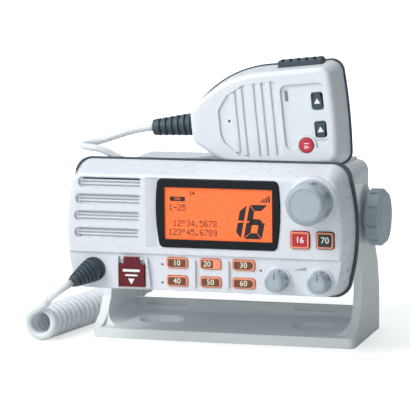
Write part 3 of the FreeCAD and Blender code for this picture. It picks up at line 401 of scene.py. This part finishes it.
for cap, body, right, up, wide, tall, finish, number in square_keys:
    dress(finish, cap)
    crown = panel_face - cap_rise
    glow = pill(wide - glow_margin, tall - glow_margin, glow_corner)
    face = pill(wide - face_margin, tall - face_margin, face_corner)
    extruded(cap + "_glow", [glow], glow_thick, amber_cap, body, on_panel(right, up, crown), holes=[face])
    figure(cap + "_figure", number, square_figure_tall, figure_thick, white_print, body,
           on_panel(right, up, crown - ink_thick))

# Distress key: a red button under a clear red flap on a steel pin.
# The flap carries a plain white arrow and two plain lines.
flap_red = plastic("flap_red_clear", paint(104, 14, 28), 0.28, shade=0.15, grain=1.0, depth=0.002, edge=0.4,
                   shine=0.35)
button_red = plastic("button_red", paint(188, 26, 34), 0.35, shade=0.06, grain=0.4)
dress(flap_red, "distress_cover")
dress(button_red, "distress_button")
flap_middle = (-43, -27.4)
flap_rise = 3.4
flap_face = step_face - flap_rise


def triangle(size, point_up=True):
    half_side = size * 0.58
    tip = size * 0.5 if point_up else -size * 0.5
    return [(-half_side, -tip), (half_side, -tip), (0, tip)]


flap_lines = [shifted(pill(10.4, 1.5, 0.2), 0, 2.9), shifted(pill(7.6, 1.0, 0.2), 0, 0.1)]
flap_marks = [shifted(triangle(3.4, False), 0, -3.6), *flap_lines]
extruded("distress_flap_marks", flap_marks, segment_thick, white_print, "distress_lid",
         on_panel(*flap_middle, flap_face))

# Control knobs: blue-grey moulded caps pushed onto the shafts of the controls behind the panel.
# A thin raised ring runs round each face, and a short fin on each small knob points at its setting.
knob_grey = plastic("knob_blue_grey", paint(172, 183, 192), 0.42, shade=0.04, grain=0.4, edge=0.6)
dress(knob_grey, "channel_knob", "volume_knob", "squelch_knob")
channel_gap, channel_tall = 2.2, 16.5
small_gap, small_tall = 1.4, 10.5
channel_knob_face = panel_face - channel_gap - channel_tall
small_knob_face = step_face - small_gap - small_tall
knobs = (("channel", "channel_control", 66, 19.3, 9.2, channel_knob_face),
         ("volume", "volume_turner", 45.2, -27.2, 4.1, small_knob_face),
         ("squelch", "squelch_turner", 70.4, -27.2, 4.1, small_knob_face))
ring_wide, ring_rise = 0.35, 0.15
pointer = pill(0.9, 3.8, 0.4)
pointer_out, pointer_sink, pointer_tall = 4.1, 0.7, 1.3
circle_flat, circle_steps = 0.01, 12


def circle(radius):
    return pill(2 * radius, 2 * radius, radius - circle_flat, steps=circle_steps)


for name, body, right, up, radius, face in knobs:
    extruded(name + "_face_ring", [circle(radius)], ring_rise, knob_grey, body, on_panel(right, up, face),
             holes=[circle(radius - ring_wide)])
    if name != "channel":
        extruded(name + "_pointer", [pointer], pointer_tall, knob_grey, body,
                 on_panel(right, up + pointer_out, face + pointer_sink))

# Strain reliefs and talk bar: moulded slate rubber.
# The reliefs are ribbed where the cord leaves the panel and the microphone, and the bar presses in.
dress(slate_rubber, "front_strain_relief", "mic_strain_relief", "push_to_talk_bar")

# Fist microphone: two white shells closed over a rubber seam, with teal keys and a red round one.
# It lies leaning on the case, so its pieces are laid in its own tilted frame.
mic_white = plastic("microphone_white_gloss", paint(226, 230, 235), 0.32, shade=0.02, grain=0.4, depth=0.001,
                    edge=0.7)
teal_cap = plastic("teal_key_silicone", paint(47, 72, 82), 0.4, shade=0.1, grain=0.3, edge=0.4)
round_red = plastic("round_key_red", paint(200, 40, 60), 0.35, shade=0.06, grain=0.3, edge=0.4)
lamp_lens = plastic("lamp_lens_smoke", paint(120, 130, 128), 0.2, shade=0.1, grain=1.0, depth=0.001,
                    coat=0.5)
dress(mic_white, "mic_front_shell", "mic_back_shell")
dress(teal_cap, "mic_up_key", "mic_down_key")
dress(round_red, "mic_round_key")
dress(lamp_lens, "mic_lamp")
mic_lean = 5.6
mic_middle = Vector((29.5, -27.8, 135.6))


def on_mic(along, deep, across):
    angle = math.radians(mic_lean)
    return (mic_middle.x + along * math.cos(angle) - across * math.sin(angle), mic_middle.y + deep,
            mic_middle.z + along * math.sin(angle) + across * math.cos(angle))


mic_face, mic_key_tall = -12.4, 5.6
mic_key_face = mic_face - mic_key_tall
mic_arrow_size = 3.2
round_key_spot = (25, -18.4, -16.4)
round_figure_tall = 3.0
for name, along, across in (("mic_up", 34, 8.9), ("mic_down", 34.4, -7.7)):
    extruded(name + "_arrow", [triangle(mic_arrow_size)], segment_thick, white_print, name,
             on_mic(along, mic_key_face, across), mic_lean)
figure("mic_round_figure", "16", round_figure_tall, figure_thick, white_print, "mic_round",
       on_mic(*round_key_spot), mic_lean, turn=90)

# Microphone cord: white PVC, a short straight tail, forty curls and a last tail to the microphone.
# The curls rest beside the bracket and climb behind the case, where they are wound a little looser.
cable_white = plastic("cable_white_pvc", paint(222, 226, 229), 0.38, shade=0.03, grain=0.6, depth=0.003,
                      edge=0.1)
cable_radius = 2.2
coil_radius = 8.1
curls = 40
loosening = 0.14
points_a_curl = 16


def read_spline(name, controls, steps):
    """The smooth line that a wire takes along its control points."""
    line = bpy.data.curves.new(name, "CURVE")
    line.dimensions = "3D"
    spline = line.splines.new("NURBS")
    spline.points.add(len(controls) - 1)
    for point, spot in zip(spline.points, controls):
        point.co = (*[value * mm for value in spot], 1)
    spline.order_u = 3
    spline.use_endpoint_u = True
    spline.resolution_u = steps
    holder = bpy.data.objects.new(name, line)
    bpy.context.scene.collection.objects.link(holder)
    bpy.context.view_layer.update()
    mesh = bpy.data.meshes.new_from_object(holder.evaluated_get(bpy.context.evaluated_depsgraph_get()))
    spots = [vertex.co.copy() for vertex in mesh.vertices]
    bpy.data.objects.remove(holder)
    bpy.data.meshes.remove(mesh)
    return spots


def cable(name, spots, sides=12):
    """A round tube that follows the spots, closed at both ends."""
    work = bmesh.new()
    rings = []
    side = None
    for index, spot in enumerate(spots):
        ahead = spots[min(index + 1, len(spots) - 1)]
        behind = spots[max(index - 1, 0)]
        heading = (ahead - behind).normalized()
        side = heading.orthogonal() if side is None else side - heading * side.dot(heading)
        side.normalize()
        across = heading.cross(side)
        ring = []
        for step in range(sides):
            angle = 2 * math.pi * step / sides
            outward = side * math.cos(angle) + across * math.sin(angle)
            ring.append(work.verts.new(spot + outward * cable_radius * mm))
        rings.append(ring)
    for before, after in zip(rings, rings[1:]):
        for step in range(sides):
            following = (step + 1) % sides
            face = work.faces.new((before[step], before[following], after[following], after[step]))
            face.smooth = True
    work.faces.new(list(reversed(rings[0])))
    work.faces.new(rings[-1])
    mesh = bpy.data.meshes.new(name)
    work.to_mesh(mesh)
    work.free()
    mesh.materials.append(cable_white)
    piece = bpy.data.objects.new(name, mesh)
    bpy.context.scene.collection.objects.link(piece)
    return piece


coil_axis = [(-108.5, -54, 10.6), (-105.5, -40, 10.6), (-101.5, -20, 10.7), (-97, 4, 10.7),
             (-94.5, 30, 10.8), (-93, 54, 11.5), (-84, 74, 18), (-66, 86, 29), (-45, 90, 44),
             (-26, 87, 61), (-16.1, 82, 83), (-16.1, 82, 108.3)]
axis = read_spline("coil_axis", coil_axis, steps=40)
travelled = [0.0]
for before, after in zip(axis, axis[1:]):
    travelled.append(travelled[-1] + (after - before).length)
headings = [(after - before).normalized() for before, after in zip(axis, axis[1:])]
headings.append(headings[-1])
first_side = Vector((-0.5, 0, 0.866))
sides_up = [(first_side - headings[0] * first_side.dot(headings[0])).normalized()]
for heading in headings[1:]:
    sides_up.append((sides_up[-1] - heading * sides_up[-1].dot(heading)).normalized())
last_across = headings[-1].cross(sides_up[-1])
leftover = math.atan2(last_across.x, sides_up[-1].x)
whole_turn = leftover - 2 * math.pi * curls
helix = []
coil_points = curls * points_a_curl
wound_radius = coil_radius * mm / math.cos(math.pi / points_a_curl)
spot_index = 0
for step in range(coil_points + 1):
    share = step / coil_points
    distance = (share - loosening / math.pi * math.sin(math.pi * share)) * travelled[-1]
    while spot_index < len(travelled) - 2 and travelled[spot_index + 1] < distance:
        spot_index += 1
    part = (distance - travelled[spot_index]) / (travelled[spot_index + 1] - travelled[spot_index])
    middle = axis[spot_index].lerp(axis[spot_index + 1], part)
    up = sides_up[spot_index].lerp(sides_up[spot_index + 1], part).normalized()
    across = headings[spot_index].cross(up)
    angle = whole_turn * share
    helix.append(tuple((middle + (up * math.cos(angle) + across * math.sin(angle)) * wound_radius) / mm))

relief_foot, relief_length = Vector((-67.4, -73.7, 48.4)), 15.6
relief_line = Vector((-0.55, -0.72, -0.38)).normalized()
relief_tip = relief_foot + relief_line * relief_length
coil_start, coil_lead = Vector((-108.8, -54.4, 19.85)), Vector((-0.818, 0.284, -0.5))
lead_reach = 9
front_tail = [tuple(relief_tip), tuple(relief_tip + relief_line * lead_reach), (-86.5, -91.5, 34.5),
              (-92.5, -80.5, 30.9), (-97.5, -67.5, 28.3), tuple(coil_start - coil_lead * lead_reach),
              tuple(coil_start)]
top_run = [(-8, 64, 108.3), (-8, 46, 108.3), (-8, 28, 108.3)]
curly_line = read_spline("curly_line", front_tail + helix + top_run, steps=3)
curly_cord = cable("curly_cord", curly_line)
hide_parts("cord_front_tail", "cord_curl")
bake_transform(curly_cord)

mic_relief_deep, mic_relief_root, mic_relief_end = -2, -60, -71.4
mic_tip = Vector(on_mic(mic_relief_end, mic_relief_deep, 0))
mic_away = (mic_tip - Vector(on_mic(mic_relief_root, mic_relief_deep, 0))).normalized()
mic_lead_reach = 11
mic_tail = [tuple(mic_tip), tuple(mic_tip + mic_away * mic_lead_reach), (-66, -31, 123),
            (-76.5, -31.2, 119.6), (-83.4, -34.6, 118.2), (-84, -40.4, 117.8), (-78.5, -43.4, 117.4),
            (-70.5, -44, 116.6), (-63.5, -42.4, 112.8), (-53.5, -40.6, 108.2), (-43, -37, 106.6),
            (-32, -28, 106.5), (-23, -16, 106.6), (-14, -2, 107.4), (-8.6, 12, 108.3), (-8, 27.7, 108.3)]
mic_line = read_spline("mic_line", mic_tail, steps=8)
mic_cord = cable("microphone_tail_cord", mic_line)
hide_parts("cord_mic_tail")
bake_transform(mic_cord)

# Smooth shading for the rounded faces of every solid.
# Corners sharper than this angle, in degrees, stay crisp.
crisp_angle = 32
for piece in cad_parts.values():
    for polygon in piece.data.polygons:
        polygon.use_smooth = True
    if hasattr(piece.data, "set_sharp_from_angle"):
        piece.data.set_sharp_from_angle(angle=math.radians(crisp_angle))

# Table and backdrop: a wide pale floor that shows white to the lens and keeps a soft shadow.
# Its own glow grows from near the radio to farther out, so that its edge isn't seen.
near_glow_reach, far_glow_reach = 0.15, 0.7
near_glow, far_glow = 0.54, 1.1
floor_finish = bpy.data.materials.new("pale_floor")
floor_finish.use_nodes = True
floor_nodes, floor_wires = floor_finish.node_tree.nodes, floor_finish.node_tree.links
floor_shader = floor_nodes["Principled BSDF"]
floor_shader.inputs["Base Color"].default_value = (0.8, 0.8, 0.8, 1)
floor_shader.inputs["Roughness"].default_value = 0.9
floor_shader.inputs["Emission Color"].default_value = (1, 1, 1, 1)
lens_ray = floor_nodes.new("ShaderNodeLightPath")
seen = floor_nodes.new("ShaderNodeMath")
seen.operation = "MULTIPLY"
floor_wires.new(lens_ray.outputs["Is Camera Ray"], seen.inputs[0])
floor_place = floor_nodes.new("ShaderNodeNewGeometry")
how_far = floor_nodes.new("ShaderNodeVectorMath")
how_far.operation = "LENGTH"
whiter = floor_nodes.new("ShaderNodeMapRange")
whiter.inputs["From Min"].default_value = near_glow_reach
whiter.inputs["From Max"].default_value = far_glow_reach
whiter.inputs["To Min"].default_value = near_glow
whiter.inputs["To Max"].default_value = far_glow
floor_wires.new(floor_place.outputs["Position"], how_far.inputs[0])
floor_wires.new(how_far.outputs["Value"], whiter.inputs["Value"])
floor_wires.new(whiter.outputs["Result"], seen.inputs[1])
floor_wires.new(seen.outputs["Value"], floor_shader.inputs["Emission Strength"])
floor_mesh = bpy.data.meshes.new("floor")
reach = 6.0
floor_mesh.from_pydata([(-reach, -reach, 0), (reach, -reach, 0), (reach, reach, 0), (-reach, reach, 0)], [],
                       [(0, 1, 2, 3)])
floor_mesh.materials.append(floor_finish)
floor = bpy.data.objects.new("floor", floor_mesh)
bpy.context.scene.collection.objects.link(floor)

# Room and lamps: a cool, dim room that is brighter on the left and shows white to the lens.
# One large lamp stands high at the front left, and three weaker ones fill, top and lift the shadows.
left_glow, right_glow = 0.6, 0.16
world = bpy.data.worlds.new("studio")
world.use_nodes = True
bpy.context.scene.world = world
sky_nodes, sky_wires = world.node_tree.nodes, world.node_tree.links
room = sky_nodes["Background"]
room.inputs["Color"].default_value = (0.84, 0.94, 0.98, 1)
toward = sky_nodes.new("ShaderNodeTexCoord")
along = sky_nodes.new("ShaderNodeSeparateXYZ")
dimmer = sky_nodes.new("ShaderNodeMapRange")
dimmer.inputs["From Min"].default_value = -1.0
dimmer.inputs["From Max"].default_value = 1.0
dimmer.inputs["To Min"].default_value = left_glow
dimmer.inputs["To Max"].default_value = right_glow
sky_wires.new(toward.outputs["Generated"], along.inputs["Vector"])
sky_wires.new(along.outputs["X"], dimmer.inputs["Value"])
sky_wires.new(dimmer.outputs["Result"], room.inputs["Strength"])
white = sky_nodes.new("ShaderNodeBackground")
white.inputs["Strength"].default_value = 1.0
rays = sky_nodes.new("ShaderNodeLightPath")
either = sky_nodes.new("ShaderNodeMath")
either.operation = "MAXIMUM"
sky_wires.new(rays.outputs["Is Camera Ray"], either.inputs[0])
sky_wires.new(rays.outputs["Is Transmission Ray"], either.inputs[1])
blend_sky = sky_nodes.new("ShaderNodeMixShader")
sky_wires.new(either.outputs["Value"], blend_sky.inputs["Fac"])
sky_wires.new(room.outputs["Background"], blend_sky.inputs[1])
sky_wires.new(white.outputs["Background"], blend_sky.inputs[2])
sky_wires.new(blend_sky.outputs["Shader"], sky_nodes["World Output"].inputs["Surface"])

lamps = (("key_light", (-0.8, -0.9, 1.1), 0.9, 16.5), ("fill_light", (0.9, -1.1, 0.5), 0.8, 0.8),
         ("top_light", (-0.1, 0.2, 1.4), 0.8, 4.5), ("low_light", (-0.35, -1.3, 0.22), 0.8, 2.6))
aim = Vector((-0.01, 0, 0.08))
for name, spot, size, power in lamps:
    lamp = bpy.data.lights.new(name, "AREA")
    lamp.size = size
    lamp.energy = power
    holder = bpy.data.objects.new(name, lamp)
    holder.location = spot
    holder.rotation_euler = (aim - Vector(spot)).to_track_quat("-Z", "Y").to_euler()
    bpy.context.scene.collection.objects.link(holder)

# Camera at the angle of the photograph: a little from the right and from above.
# Its focal length is given in pixels of the photograph's width.
camera_turn, camera_rise, camera_roll = 16.5, 8.0, -0.6
camera_distance = 1.501
camera_aim = Vector((-0.0194, 0, 0.0782))
photo_width = 410
focal_pixels = 2461
sensor_width = 36
lens = bpy.data.cameras.new("camera")
lens.sensor_width = sensor_width
lens.sensor_fit = "HORIZONTAL"
lens.lens = sensor_width * focal_pixels / photo_width
camera = bpy.data.objects.new("camera", lens)
bpy.context.scene.collection.objects.link(camera)
turn, rise = math.radians(camera_turn), math.radians(camera_rise)
back = Vector((math.sin(turn) * math.cos(rise), -math.cos(turn) * math.cos(rise), math.sin(rise)))
camera.location = camera_aim + back * camera_distance
facing = (-back).to_track_quat("-Z", "Y").to_matrix().to_4x4()
camera.matrix_world = (Matrix.Translation(camera.location) @ facing
                       @ Matrix.Rotation(math.radians(camera_roll), 4, "Z"))
bpy.context.scene.camera = camera
bpy.context.scene.view_settings.view_transform = "Standard"
